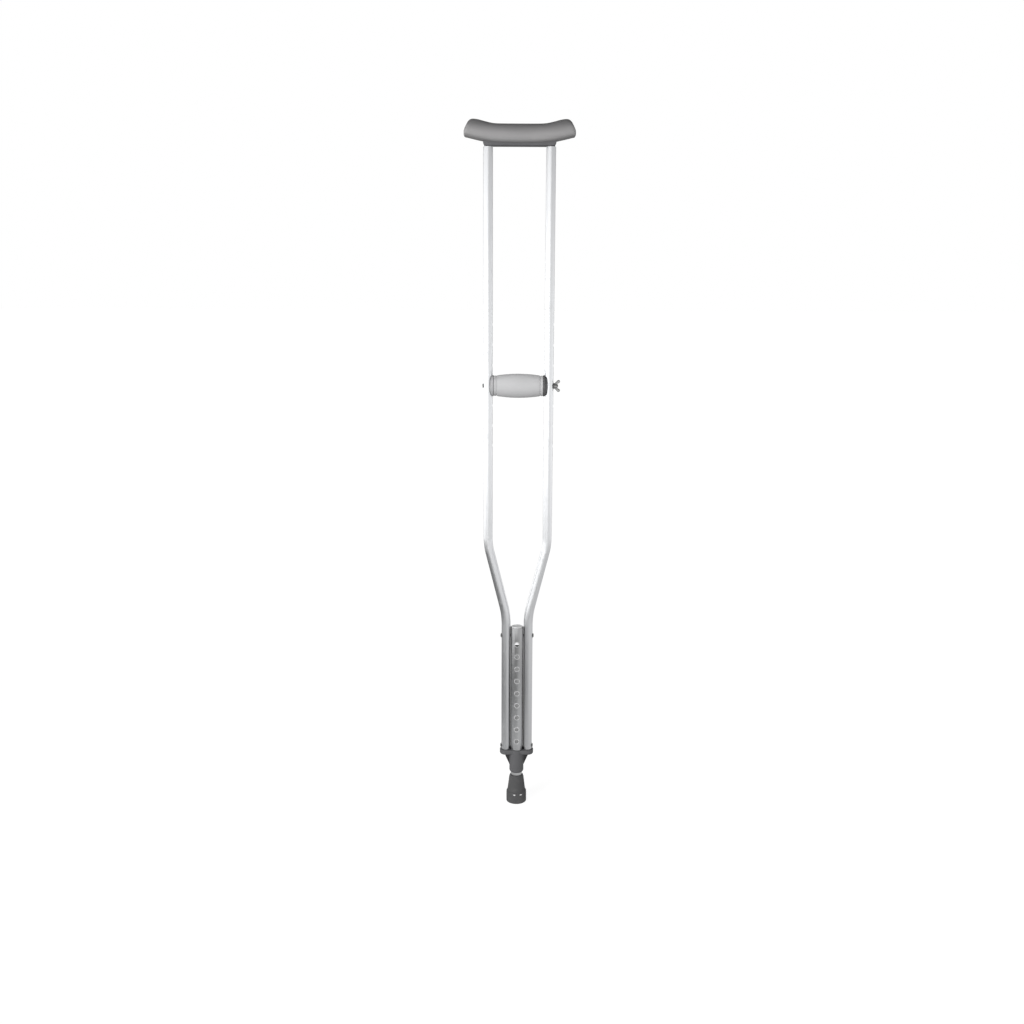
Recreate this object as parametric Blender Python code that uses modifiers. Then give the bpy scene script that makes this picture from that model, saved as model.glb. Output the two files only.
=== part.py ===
"""Underarm crutch: two aluminium uprights that meet on a telescoping leg.

Metres, +Z up. The crutch stands upright on its tip, whose sole is centred on the
origin. The user faces +Y; the snap button faces -Y and the wing nut +X.
"""

import math

import bmesh
import bpy
from mathutils import Matrix, Vector

MM = 0.001
GAP = 0.3 * MM  # clearance kept between touching pieces
OVERSHOOT = 2.0 * MM  # how far a cutter passes the surface that it cuts

# Heights above the sole
HEIGHT = 1320.8 * MM
GRIP_Z = 842.0 * MM
SLEEVE_TOP_Z = 367.5 * MM
UPPER_RIVET_Z = 350.0 * MM
BUTTON_Z = 334.5 * MM
LOWER_RIVET_Z = 119.5 * MM
FOOT_PLATE_TOP_Z = 112.2 * MM
TUBE_BOTTOM_Z = FOOT_PLATE_TOP_Z + GAP
TIP_TOP_Z = 57.5 * MM

# Uprights
UPRIGHT_RADIUS = 8.75 * MM
UPRIGHT_WALL = 1.25 * MM
UPRIGHT_X = 57.3 * MM
UPPER_BEND_Z = 533.0 * MM
LOWER_BEND_Z = 392.0 * MM
UPPER_BEND_RADIUS = 125.0 * MM
LOWER_BEND_RADIUS = 165.0 * MM
UPRIGHT_TOP_Z = 1275.2 * MM
PEG_RADIUS = UPRIGHT_RADIUS - UPRIGHT_WALL - GAP
PEG_LENGTH = 25.0 * MM

# Telescoping leg and its sleeve
SLEEVE_RADIUS = 12.7 * MM
SLEEVE_WALL = 1.4 * MM
LEG_RADIUS = 11.1 * MM
LEG_WALL = 1.4 * MM
LEG_CLEARANCE = 0.2 * MM
FOOT_X = SLEEVE_RADIUS + GAP + UPRIGHT_RADIUS
HEIGHT_HOLES = 9
HEIGHT_PITCH = 25.4 * MM
BUTTON_RADIUS = 4.0 * MM
BUTTON_HOLE_RADIUS = BUTTON_RADIUS + GAP
BUTTON_PROUD = 2.5 * MM
BUTTON_FLANGE = 1.0 * MM
BUTTON_FLANGE_Y = 7.0 * MM

# Rubber tip
TIP_RING_RADIUS = 20.0 * MM
TIP_SOLE_THICKNESS = 5.5 * MM
TIP_WASHER_THICKNESS = 1.2 * MM

# Handgrip
GRIP_HOLES = 7
GRIP_PITCH = 38.1 * MM
GRIP_RADIUS = 22.6 * MM
GRIP_END_RADIUS = 19.4 * MM
GRIP_COLLAR_RADIUS = 19.1 * MM
GRIP_HALF_LENGTH = 46.4 * MM
GRIP_CORE_RADIUS = 13.0 * MM
CUP_RADIUS = 19.8 * MM
CUP_REACH = 55.6 * MM
BOLT_RADIUS = 3.0 * MM
BOLT_HOLE_RADIUS = BOLT_RADIUS + GAP
BOLT_HEAD_RADIUS = 4.2 * MM
WASHER_X = UPRIGHT_X + UPRIGHT_RADIUS + GAP
WASHER_THICKNESS = 1.2 * MM
NUT_X = WASHER_X + WASHER_THICKNESS + GAP
BOLT_END_X = NUT_X + 7.0 * MM

# Rivets
RIVET_RADIUS = 2.5 * MM
SHORT_RIVET_RADIUS = 2.0 * MM
SHORT_RIVET_GRIP = 4.0 * MM  # how deep a short rivet goes into its peg
RIVET_HEAD_RADIUS = 4.5 * MM
RIVET_HEAD_HEIGHT = 2.0 * MM

# Underarm rest
REST_HALF_LENGTH = 101.3 * MM
REST_HALF_DEPTH = 24.0 * MM
SADDLE_HALF_DEPTH = 13.0 * MM
BRACKET_BOTTOM_Z = UPRIGHT_TOP_Z + GAP

ROUND = 32  # sides of a large turned piece
SMALL_ROUND = 20

PLASTIC_DARK = (0.085, 0.085, 0.090)
RUBBER_DARK = (0.075, 0.075, 0.075)
RUBBER_GREY = (0.25, 0.25, 0.245)
GRIP_GREY = (0.55, 0.55, 0.56)
CUP_GREY = (0.33, 0.33, 0.34)
ALUMINIUM = (0.86, 0.87, 0.88)
STEEL = (0.56, 0.56, 0.55)


def clear_scene():
    for obj in list(bpy.data.objects):
        bpy.data.objects.remove(obj)


def make_collections():
    """The crutch's own collection, and a hidden one for cutters and joined shapes."""
    scene = bpy.context.scene.collection
    crutch = bpy.data.collections.new("underarm_crutch")
    helpers = bpy.data.collections.new("helpers")
    scene.children.link(crutch)
    scene.children.link(helpers)
    return crutch, helpers


def material(name, colour, roughness, metallic):
    mat = bpy.data.materials.new(name)
    mat.use_nodes = True
    shader = mat.node_tree.nodes["Principled BSDF"]
    shader.inputs["Base Color"].default_value = (*colour, 1.0)
    shader.inputs["Roughness"].default_value = roughness
    shader.inputs["Metallic"].default_value = metallic
    return mat


def world_location(obj):
    """Where an unturned object stands in the world, from its own and its parents' locations."""
    place = Vector()
    while obj:
        place += obj.location
        obj = obj.parent
    return place


def add_part(name, mesh, look, parent=None, location=(0, 0, 0), rotation=(0, 0, 0)):
    """A sub-part in the crutch's collection, placed in world coordinates under its parent."""
    obj = bpy.data.objects.new(name, mesh)
    CRUTCH.objects.link(obj)
    mesh.materials.clear()
    mesh.materials.append(material(name, *look))
    obj.location = Vector(location) - world_location(parent)
    obj.rotation_euler = rotation
    obj.parent = parent
    return obj


def add_helper(name, mesh):
    """A solid that only cuts or joins another."""
    obj = bpy.data.objects.new(name, mesh)
    HELPERS.objects.link(obj)
    obj.display_type = "WIRE"
    obj.hide_render = True
    return obj


def add_axis(name, location, parent=None):
    """An empty on a joint's axis, which carries the pieces that move."""
    empty = bpy.data.objects.new(name, None)
    empty.location = Vector(location) - world_location(parent)
    empty.parent = parent
    empty.empty_display_size = 20 * MM
    CRUTCH.objects.link(empty)
    return empty


def boolean(obj, other, operation):
    """Joins the helper to the part or cuts it away, where each stands in the world."""
    modifier = obj.modifiers.new(operation.lower(), "BOOLEAN")
    modifier.operation = operation
    modifier.solver = "EXACT"
    modifier.object = other


def smooth(obj, angle=35):
    for face in obj.data.polygons:
        face.use_smooth = True
    obj.data.set_sharp_from_angle(angle=math.radians(angle))


def turned_mesh(name, profile):
    """Edges of a profile (radius, height) that runs down the outside, for a Screw modifier."""
    corners = [(radius, 0, height) for radius, height in profile]
    edges = [(i, i + 1) for i in range(len(corners) - 1)]
    if profile[0][0] > 0:
        edges.append((len(corners) - 1, 0))
    mesh = bpy.data.meshes.new(name)
    mesh.from_pydata(corners, edges, [])
    return mesh


def turn(obj, sides):
    screw = obj.modifiers.new("turn", "SCREW")
    screw.axis = "Z"
    screw.steps = sides
    screw.render_steps = sides
    screw.use_merge_vertices = True
    screw.merge_threshold = 1e-5
    screw.use_smooth_shade = True


def turned(name, profile, look, sides=ROUND, **place):
    """A solid of revolution about its own Z axis."""
    obj = add_part(name, turned_mesh(name, profile), look, **place)
    turn(obj, sides)
    return obj


def cylinders(name, rods, sides=SMALL_ROUND):
    """One helper mesh of round rods, each (start, end, radius)."""
    bm = bmesh.new()
    for start, end, radius in rods:
        start, end = Vector(start), Vector(end)
        along = end - start
        turn_to = along.to_track_quat("Z", "Y").to_matrix().to_4x4()
        bmesh.ops.create_cone(
            bm,
            cap_ends=True,
            segments=sides,
            radius1=radius,
            radius2=radius,
            depth=along.length,
            matrix=Matrix.Translation((start + end) / 2) @ turn_to,
        )
    mesh = bpy.data.meshes.new(name)
    bm.to_mesh(mesh)
    bm.free()
    return mesh


def prism(name, outline, half_depth):
    """A solid whose (x, z) outline is extruded to half_depth on both sides of Y = 0."""
    curve = bpy.data.curves.new(name, "CURVE")
    curve.dimensions = "2D"
    curve.fill_mode = "BOTH"
    curve.extrude = half_depth
    spline = curve.splines.new("POLY")
    spline.points.add(len(outline) - 1)
    for point, (x, z) in zip(spline.points, outline):
        point.co = (x, z, 0, 1)
    spline.use_cyclic_u = True
    mesh = mesh_of_curve(name, curve)
    mesh.transform(Matrix.Rotation(math.pi / 2, 4, "X"))
    return mesh


def mesh_of_curve(name, curve):
    """The curve's surface as a mesh with its seams welded."""
    holder = bpy.data.objects.new(name + "_curve", curve)
    bpy.context.scene.collection.objects.link(holder)
    graph = bpy.context.evaluated_depsgraph_get()
    mesh = bpy.data.meshes.new_from_object(holder.evaluated_get(graph))
    bpy.data.objects.remove(holder)
    bm = bmesh.new()
    bm.from_mesh(mesh)
    bmesh.ops.remove_doubles(bm, verts=bm.verts, dist=1e-6)
    bm.to_mesh(mesh)
    bm.free()
    return mesh


def filleted(corners, radii, steps):
    """The corners' path with an arc of the given radius at each inner corner."""
    path = [Vector(corners[0])]
    for before, corner, after, radius in zip(corners, corners[1:], corners[2:], radii):
        before, corner, after = Vector(before), Vector(corner), Vector(after)
        came = (corner - before).normalized()
        goes = (after - corner).normalized()
        bend = came.angle(goes)
        reach = radius * math.tan(bend / 2)
        centre = corner + (goes - came).normalized() * radius / math.cos(bend / 2)
        start = (corner - came * reach - centre).normalized()
        end = (corner + goes * reach - centre).normalized()
        path += [centre + start.slerp(end, i / steps) * radius for i in range(steps + 1)]
    return path + [Vector(corners[-1])]


def dome(radius, height, base, steps=3):
    """Profile points of a domed end, from the crown on the axis down to (radius, base)."""
    angles = [i * math.pi / 2 / steps for i in range(steps + 1)]
    return [(radius * math.sin(a), base + height * math.cos(a)) for a in angles]


# Uprights ------------------------------------------------------------------


def upright(name, side):
    """A hollow tube that bends in twice, to run down beside the sleeve."""
    corners = [
        (side * FOOT_X, 0, TUBE_BOTTOM_Z),
        (side * FOOT_X, 0, LOWER_BEND_Z),
        (side * UPRIGHT_X, 0, UPPER_BEND_Z),
        (side * UPRIGHT_X, 0, UPRIGHT_TOP_Z),
    ]
    path = filleted(corners, (LOWER_BEND_RADIUS, UPPER_BEND_RADIUS), steps=5)
    curve = bpy.data.curves.new(name, "CURVE")
    curve.dimensions = "3D"
    curve.bevel_depth = UPRIGHT_RADIUS
    curve.bevel_resolution = (SMALL_ROUND - 4) // 2
    spline = curve.splines.new("POLY")
    spline.points.add(len(path) - 1)
    for point, at in zip(spline.points, path):
        point.co = (*at, 1)
    obj = add_part(name, mesh_of_curve(name, curve), (ALUMINIUM, 0.25, 1.0))
    wall = obj.modifiers.new("wall", "SOLIDIFY")
    wall.thickness = UPRIGHT_WALL
    wall.offset = -1
    wall.use_even_offset = True
    boolean(obj, add_helper(name + "_holes", upright_holes(name, side)), "DIFFERENCE")
    smooth(obj)
    return obj


def upright_holes(name, side):
    """Handgrip holes through both walls, and the rivet holes of the sleeve and the foot bracket."""
    through = UPRIGHT_RADIUS + OVERSHOOT
    rods = []
    for height in grip_hole_heights():
        start = (side * UPRIGHT_X - through, 0, height)
        rods.append((start, (side * UPRIGHT_X + through, 0, height), BOLT_HOLE_RADIUS))
    start = (side * FOOT_X - through, 0, UPPER_RIVET_Z)
    rods.append((start, (side * FOOT_X + through, 0, UPPER_RIVET_Z), RIVET_RADIUS + GAP))
    start = (side * (FOOT_X + PEG_RADIUS - OVERSHOOT), 0, LOWER_RIVET_Z)
    end = (side * (FOOT_X + through), 0, LOWER_RIVET_Z)
    rods.append((start, end, SHORT_RIVET_RADIUS + GAP))
    return cylinders(name + "_holes", rods, sides=12)


def grip_hole_heights():
    middle = (GRIP_HOLES - 1) / 2
    return [GRIP_Z + (i - middle) * GRIP_PITCH for i in range(GRIP_HOLES)]


# Sleeve and foot -----------------------------------------------------------


def sleeve():
    """The fixed outer tube, with a row of height holes down its front."""
    inner = SLEEVE_RADIUS - SLEEVE_WALL
    profile = [
        (SLEEVE_RADIUS, SLEEVE_TOP_Z),
        (SLEEVE_RADIUS, TUBE_BOTTOM_Z),
        (inner, TUBE_BOTTOM_Z),
        (inner, SLEEVE_TOP_Z),
    ]
    obj = turned("sleeve_tube", profile, (ALUMINIUM, 0.3, 1.0))
    across = SLEEVE_RADIUS + OVERSHOOT
    rods = []
    for i in range(HEIGHT_HOLES):
        height = BUTTON_Z - i * HEIGHT_PITCH
        rods.append(((0, -across, height), (0, -inner / 2, height), BUTTON_HOLE_RADIUS))
    rods.append(((-across, 0, UPPER_RIVET_Z), (across, 0, UPPER_RIVET_Z), RIVET_RADIUS + GAP))
    holes = add_helper("sleeve_holes", cylinders("sleeve_holes", rods, sides=16))
    boolean(obj, holes, "DIFFERENCE")


def sleeve_cap():
    """A plug pressed into the sleeve's top, standing slightly proud of its rim."""
    radius = SLEEVE_RADIUS - SLEEVE_WALL - GAP
    top = SLEEVE_TOP_Z + 1.5 * MM
    bottom = SLEEVE_TOP_Z - 8.0 * MM
    bevel = 0.6 * MM
    profile = [(0, top), (radius - bevel, top), (radius, top - bevel), (radius, bottom), (0, bottom)]
    turned("sleeve_cap", profile, (CUP_GREY, 0.5, 0.0))


def through_rivet():
    """One rivet through both uprights and the sleeve, just above the leg's top."""
    seat = FOOT_X + UPRIGHT_RADIUS + GAP
    head = dome(RIVET_HEAD_RADIUS, RIVET_HEAD_HEIGHT, seat)
    tail = [(radius, -height) for radius, height in reversed(head)]
    profile = head + [(RIVET_RADIUS, seat), (RIVET_RADIUS, -seat)] + tail
    turned(
        "upper_rivet",
        profile,
        (STEEL, 0.4, 1.0),
        sides=16,
        location=(0, 0, UPPER_RIVET_Z),
        rotation=(0, math.pi / 2, 0),
    )


def short_rivet(name, side):
    """Holds one upright on its peg, without reaching the leg."""
    seat = UPRIGHT_RADIUS + GAP
    shank_end = PEG_RADIUS - SHORT_RIVET_GRIP
    profile = dome(RIVET_HEAD_RADIUS, RIVET_HEAD_HEIGHT, seat)
    profile += [(SHORT_RIVET_RADIUS, seat), (SHORT_RIVET_RADIUS, shank_end), (0, shank_end)]
    turned(
        name,
        profile,
        (STEEL, 0.4, 1.0),
        sides=16,
        location=(side * FOOT_X, 0, LOWER_RIVET_Z),
        rotation=(0, side * math.pi / 2, 0),
    )


def foot_bracket():
    """A moulded foot: a plate under the tubes, a peg in each upright, and a boss round the leg."""
    plate_bottom = 102.0 * MM
    boss_bottom = 64.0 * MM
    boss_radius = 14.2 * MM
    boss_chamfer = 2.0 * MM
    ear_radius = 11.7 * MM
    rim_bevel = 0.5 * MM
    lower_rim = 3.0 * MM
    web_bottom = 77.5 * MM
    web_half_width = 24.0 * MM
    web_half_thickness = 2.2 * MM
    overlap = 1.0 * MM  # how far one moulded shape reaches into the next
    skin = 0.02 * MM  # keeps the bar's faces off the ears' own faces

    profile = [
        (0, FOOT_PLATE_TOP_Z),
        (ear_radius - rim_bevel, FOOT_PLATE_TOP_Z),
        (ear_radius, FOOT_PLATE_TOP_Z - rim_bevel),
        (ear_radius, plate_bottom + lower_rim),
        (ear_radius - 0.3 * lower_rim, plate_bottom + 0.3 * lower_rim),
        (ear_radius - lower_rim, plate_bottom),
        (0, plate_bottom),
    ]
    look = (PLASTIC_DARK, 0.55, 0.0)
    obj = turned("foot_bracket", profile, look, sides=24, location=(FOOT_X, 0, 0))
    other_ear = add_helper("foot_ear", turned_mesh("foot_ear", profile))
    turn(other_ear, 24)

    low = plate_bottom + skin
    high = FOOT_PLATE_TOP_Z - skin
    bar = [(-FOOT_X, low), (FOOT_X, low), (FOOT_X, high), (-FOOT_X, high)]
    web = [
        (-web_half_width, plate_bottom + overlap),
        (-boss_radius + overlap, web_bottom),
        (boss_radius - overlap, web_bottom),
        (web_half_width, plate_bottom + overlap),
    ]
    boss = [
        (0, FOOT_PLATE_TOP_Z),
        (boss_radius, FOOT_PLATE_TOP_Z),
        (boss_radius, boss_bottom + 1.5 * boss_chamfer),
        (boss_radius - boss_chamfer, boss_bottom),
        (0, boss_bottom),
    ]
    peg_low = plate_bottom + lower_rim
    peg_high = FOOT_PLATE_TOP_Z + PEG_LENGTH
    pegs = [((x, 0, peg_low), (x, 0, peg_high), PEG_RADIUS) for x in (-FOOT_X, FOOT_X)]
    other_ear.location = (-FOOT_X, 0, 0)
    round_boss = add_helper("foot_boss", turned_mesh("foot_boss", boss))
    turn(round_boss, ROUND)
    shapes = [
        other_ear,
        add_helper("foot_bar", prism("foot_bar", bar, ear_radius - 10 * skin)),
        add_helper("foot_webs", prism("foot_webs", web, web_half_thickness)),
        round_boss,
        add_helper("foot_pegs", cylinders("foot_pegs", pegs)),
    ]
    for shape in shapes:
        boolean(obj, shape, "UNION")

    start = (0, 0, boss_bottom - OVERSHOOT)
    bore = [(start, (0, 0, FOOT_PLATE_TOP_Z + OVERSHOOT), LEG_RADIUS + LEG_CLEARANCE)]
    boolean(obj, add_helper("foot_bore", cylinders("foot_bore", bore, sides=ROUND)), "DIFFERENCE")
    rods = []
    for side in (-1, 1):
        start = (side * (FOOT_X + PEG_RADIUS - SHORT_RIVET_GRIP - GAP), 0, LOWER_RIVET_Z)
        end = (side * (FOOT_X + PEG_RADIUS + OVERSHOOT), 0, LOWER_RIVET_Z)
        rods.append((start, end, SHORT_RIVET_RADIUS + GAP))
    holes = add_helper("foot_rivet_holes", cylinders("foot_rivet_holes", rods, sides=12))
    boolean(obj, holes, "DIFFERENCE")


# Leg -----------------------------------------------------------------------


def leg_tube(axis):
    """The telescoping tube, whose top stops under the through rivet."""
    top = UPPER_RIVET_Z - RIVET_RADIUS - GAP - LEG_CLEARANCE
    bottom = TIP_SOLE_THICKNESS + TIP_WASHER_THICKNESS + 2 * GAP
    inner = LEG_RADIUS - LEG_WALL
    profile = [(LEG_RADIUS, top), (LEG_RADIUS, bottom), (inner, bottom), (inner, top)]
    obj = turned("leg_tube", profile, (ALUMINIUM, 0.3, 1.0), parent=axis)
    start = (0, -LEG_RADIUS - OVERSHOOT, BUTTON_Z)
    rods = [(start, (0, -inner / 2, BUTTON_Z), BUTTON_HOLE_RADIUS)]
    hole = add_helper("leg_hole", cylinders("leg_hole", rods, sides=16))
    boolean(obj, hole, "DIFFERENCE")


def tip(axis):
    """A moulded rubber tip with a wide tread ring and one groove in its sole."""
    bore = LEG_RADIUS + GAP
    ring_top = 22.5 * MM
    groove_depth = 1.5 * MM
    neck = 14.4 * MM
    flare = 18.0 * MM
    profile = [
        (neck - 2.4 * MM, TIP_TOP_Z),
        (neck - 0.9 * MM, TIP_TOP_Z - 0.9 * MM),
        (neck, TIP_TOP_Z - 3.4 * MM),
        (flare, ring_top + 1.5 * MM),
        (TIP_RING_RADIUS - 0.4 * MM, ring_top),
        (TIP_RING_RADIUS, ring_top - 1.5 * MM),
        (TIP_RING_RADIUS, 2.0 * MM),
        (TIP_RING_RADIUS - 0.6 * MM, 0.6 * MM),
        (TIP_RING_RADIUS - 2.0 * MM, 0),
        (14.0 * MM, 0),
        (13.0 * MM, groove_depth),
        (9.0 * MM, groove_depth),
        (8.0 * MM, 0),
        (0, 0),
    ]
    hollow = [(0, TIP_SOLE_THICKNESS), (bore, TIP_SOLE_THICKNESS), (bore, TIP_TOP_Z)]
    # An open profile from axis to axis: the bore's floor, up its wall, over the rim and down outside.
    turned("tip", hollow + profile, (RUBBER_DARK, 0.75, 0.0), parent=axis)


def tip_washer(axis):
    """A steel disc that keeps the tube from cutting through the sole."""
    low = TIP_SOLE_THICKNESS + GAP
    high = low + TIP_WASHER_THICKNESS
    radius = LEG_RADIUS - 0.1 * MM
    profile = [(0, high), (radius, high), (radius, low), (0, low)]
    turned("tip_washer", profile, (STEEL, 0.4, 1.0), parent=axis)


def snap_button(axis):
    """The spring button, with a flange that keeps it inside the leg."""
    crown = SLEEVE_RADIUS + BUTTON_PROUD
    crown_height = 1.3 * MM
    flange_radius = BUTTON_RADIUS + 1.2 * MM
    profile = dome(BUTTON_RADIUS, crown_height, crown - crown_height)
    profile += [
        (BUTTON_RADIUS, BUTTON_FLANGE_Y + BUTTON_FLANGE),
        (flange_radius, BUTTON_FLANGE_Y + BUTTON_FLANGE),
        (flange_radius, BUTTON_FLANGE_Y),
        (0, BUTTON_FLANGE_Y),
    ]
    turned(
        "snap_button",
        profile,
        (STEEL, 0.25, 1.0),
        sides=16,
        parent=axis,
        location=(0, 0, BUTTON_Z),
        rotation=(math.pi / 2, 0, 0),
    )


def button_spring(axis):
    """A folded leaf that pushes the button out from the far wall of the leg."""
    half_width = 3.0 * MM
    thickness = 0.5 * MM
    front = BUTTON_FLANGE_Y - GAP - thickness / 2
    back = 8.0 * MM
    fold_z = BUTTON_Z - 52.0 * MM
    fold_radius = 4.0 * MM
    fold_steps = 6
    end = 6.0 * MM  # how far each leaf runs past the button's centre

    leaf = [(-front, BUTTON_Z + end), (-front, BUTTON_Z - end)]
    for i in range(fold_steps + 1):
        angle = math.pi * i / fold_steps
        leaf.append((-fold_radius * math.cos(angle), fold_z - fold_radius * math.sin(angle)))
    leaf += [(back, BUTTON_Z - end), (back, BUTTON_Z + end)]
    bm = bmesh.new()
    rows = [[bm.verts.new((x, y, z)) for x in (-half_width, half_width)] for y, z in leaf]
    for upper, lower in zip(rows, rows[1:]):
        bm.faces.new((upper[0], upper[1], lower[1], lower[0]))
    mesh = bpy.data.meshes.new("button_spring")
    bm.to_mesh(mesh)
    bm.free()
    obj = add_part("button_spring", mesh, (STEEL, 0.35, 1.0), parent=axis)
    sheet = obj.modifiers.new("sheet", "SOLIDIFY")
    sheet.thickness = thickness
    sheet.offset = 0
    sheet.use_even_offset = True


# Handgrip ------------------------------------------------------------------


def along_x(axis):
    """Places a piece turned about Z with its axis along the bolt's."""
    return {"parent": axis, "location": (0, 0, GRIP_Z), "rotation": (0, math.pi / 2, 0)}


def grip_core(axis):
    """The tube that carries the cover and that the bolt runs through."""
    half = GRIP_HALF_LENGTH
    bore = BOLT_HOLE_RADIUS + GAP
    profile = [(GRIP_CORE_RADIUS, half), (GRIP_CORE_RADIUS, -half), (bore, -half), (bore, half)]
    turned("grip_core", profile, (PLASTIC_DARK, 0.5, 0.0), sides=SMALL_ROUND, **along_x(axis))


def grip_cover(axis):
    """A barrelled cover with a groove before each end collar."""
    groove = 41.2 * MM
    groove_half_width = 0.9 * MM
    groove_depth = 0.9 * MM
    edge = 0.8 * MM
    barrel_end = groove - groove_half_width
    barrel_steps = 4
    half = [
        (GRIP_COLLAR_RADIUS - edge, GRIP_HALF_LENGTH),
        (GRIP_COLLAR_RADIUS, GRIP_HALF_LENGTH - edge),
        (GRIP_COLLAR_RADIUS, groove + groove_half_width),
        (GRIP_COLLAR_RADIUS - groove_depth, groove),
    ]
    for i in range(barrel_steps):
        share = 1 - i / barrel_steps
        radius = GRIP_RADIUS - (GRIP_RADIUS - GRIP_END_RADIUS) * share**2
        half.append((radius, barrel_end * share))
    mirrored = [(radius, -x) for radius, x in reversed(half)]
    inner = GRIP_CORE_RADIUS + GAP
    profile = half + [(GRIP_RADIUS, 0)] + mirrored
    profile += [(inner, -GRIP_HALF_LENGTH), (inner, GRIP_HALF_LENGTH)]
    turned("grip_cover", profile, (GRIP_GREY, 0.7, 0.0), **along_x(axis))


def grip_cup(name, side, axis):
    """A domed cup whose hollow back saddles the upright."""
    start = GRIP_HALF_LENGTH + GAP
    shoulder = 48.6 * MM
    crown = dome(CUP_RADIUS, CUP_REACH - shoulder, shoulder, steps=5)
    profile = crown + [(CUP_RADIUS, start), (0, start)]
    obj = turned(
        name,
        profile,
        (CUP_GREY, 0.5, 0.0),
        parent=axis,
        location=(0, 0, GRIP_Z),
        rotation=(0, side * math.pi / 2, 0),
    )
    x = side * UPRIGHT_X
    end = CUP_RADIUS + OVERSHOOT
    rods = [((x, 0, GRIP_Z - end), (x, 0, GRIP_Z + end), UPRIGHT_RADIUS + GAP)]
    saddle = add_helper(name + "_saddle", cylinders(name + "_saddle", rods, sides=SMALL_ROUND))
    boolean(obj, saddle, "DIFFERENCE")
    inner = side * (start - OVERSHOOT)
    outer = side * (CUP_REACH + OVERSHOOT)
    rods = [((inner, 0, GRIP_Z), (outer, 0, GRIP_Z), BOLT_HOLE_RADIUS)]
    hole = add_helper(name + "_hole", cylinders(name + "_hole", rods, sides=12))
    boolean(obj, hole, "DIFFERENCE")


def grip_bolt(axis):
    """A domed-head bolt through both uprights and the grip."""
    chamfer = 0.5 * MM
    head = dome(BOLT_HEAD_RADIUS, RIVET_HEAD_HEIGHT, WASHER_X)
    profile = [(0, BOLT_END_X), (BOLT_RADIUS - chamfer, BOLT_END_X)]
    profile += [(BOLT_RADIUS, BOLT_END_X - chamfer), (BOLT_RADIUS, -WASHER_X)]
    profile += [(radius, -height) for radius, height in reversed(head)]
    turned("grip_bolt", profile, (STEEL, 0.35, 1.0), sides=16, **along_x(axis))


def bolt_washer(axis):
    """A flat ring between the right upright and the nut."""
    low = WASHER_X
    high = WASHER_X + WASHER_THICKNESS
    outer = 6.0 * MM
    inner = BOLT_HOLE_RADIUS
    profile = [(outer, high), (outer, low), (inner, low), (inner, high)]
    turned("bolt_washer", profile, (STEEL, 0.35, 1.0), sides=SMALL_ROUND, **along_x(axis))


def wing_nut(axis):
    """A hub with two splayed wings."""
    hub_height = 5.5 * MM
    hub_base_radius = 4.9 * MM
    hub_top_radius = 4.2 * MM
    wing_half_thickness = 1.3 * MM
    profile = [(0, hub_height), (hub_top_radius, hub_height), (hub_base_radius, 0), (0, 0)]
    obj = turned(
        "wing_nut",
        profile,
        (STEEL, 0.35, 1.0),
        sides=16,
        parent=axis,
        location=(NUT_X, 0, GRIP_Z),
        rotation=(0, math.pi / 2, 0),
    )
    for name, side in (("wing_upper", 1), ("wing_lower", -1)):
        outline = [(NUT_X + x, GRIP_Z + side * z) for x, z in wing_outline()[::side]]
        wing = add_helper(name, prism(name, outline, wing_half_thickness))
        boolean(obj, wing, "UNION")
    end = NUT_X + hub_height + OVERSHOOT
    rods = [((NUT_X - OVERSHOOT, 0, GRIP_Z), (end, 0, GRIP_Z), BOLT_HOLE_RADIUS)]
    boolean(obj, add_helper("nut_bore", cylinders("nut_bore", rods, sides=16)), "DIFFERENCE")


def wing_outline():
    """(x from the nut's seat, z from its axis) outline of the wing that points up."""
    root_z = 3.4 * MM
    end_centre = (8.6 * MM, 9.4 * MM)
    end_radius = 2.5 * MM
    outline = [(0.6 * MM, root_z), (4.8 * MM, root_z)]
    for degrees in range(-50, 131, 20):
        angle = math.radians(degrees)
        x = end_centre[0] + end_radius * math.cos(angle)
        outline.append((x, end_centre[1] + end_radius * math.sin(angle)))
    return outline


# Underarm rest -------------------------------------------------------------


def saddle_outline(clearance):
    """(x, z) outline of the bracket's bar and its two upswept wings, grown by the clearance."""
    half = [
        (64.4 * MM, BRACKET_BOTTOM_Z),
        (66.4 * MM, 1277.5 * MM),
        (67.5 * MM, 1284.0 * MM),
        (75.5 * MM, 1290.5 * MM),
        (88.0 * MM, 1297.5 * MM),
        (89.5 * MM, 1300.0 * MM),
        (86.5 * MM, 1301.5 * MM),
        (68.0 * MM, 1294.5 * MM),
        (40.0 * MM, 1290.5 * MM),
    ]
    corners = [Vector(corner) for corner in half + [(-x, z) for x, z in reversed(half)]]
    grown = []
    for i, corner in enumerate(corners):
        came = (corner - corners[i - 1]).normalized()
        goes = (corners[(i + 1) % len(corners)] - corner).normalized()
        out = Vector((came.y + goes.y, -came.x - goes.x)).normalized()
        reach = clearance / max(out.dot(Vector((came.y, -came.x))), 0.5)
        grown.append(tuple(corner + out * reach))
    return grown


def underarm_bracket():
    """The bar on top of the uprights, with a peg in each and wings inside the cushion."""
    mesh = prism("underarm_bracket", saddle_outline(0), SADDLE_HALF_DEPTH)
    obj = add_part("underarm_bracket", mesh, (PLASTIC_DARK, 0.5, 0.0))
    rods = []
    for side in (-1, 1):
        start = (side * UPRIGHT_X, 0, UPRIGHT_TOP_Z - PEG_LENGTH)
        rods.append((start, (side * UPRIGHT_X, 0, BRACKET_BOTTOM_Z + PEG_RADIUS), PEG_RADIUS))
    boolean(obj, add_helper("bracket_pegs", cylinders("bracket_pegs", rods)), "UNION")


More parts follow.
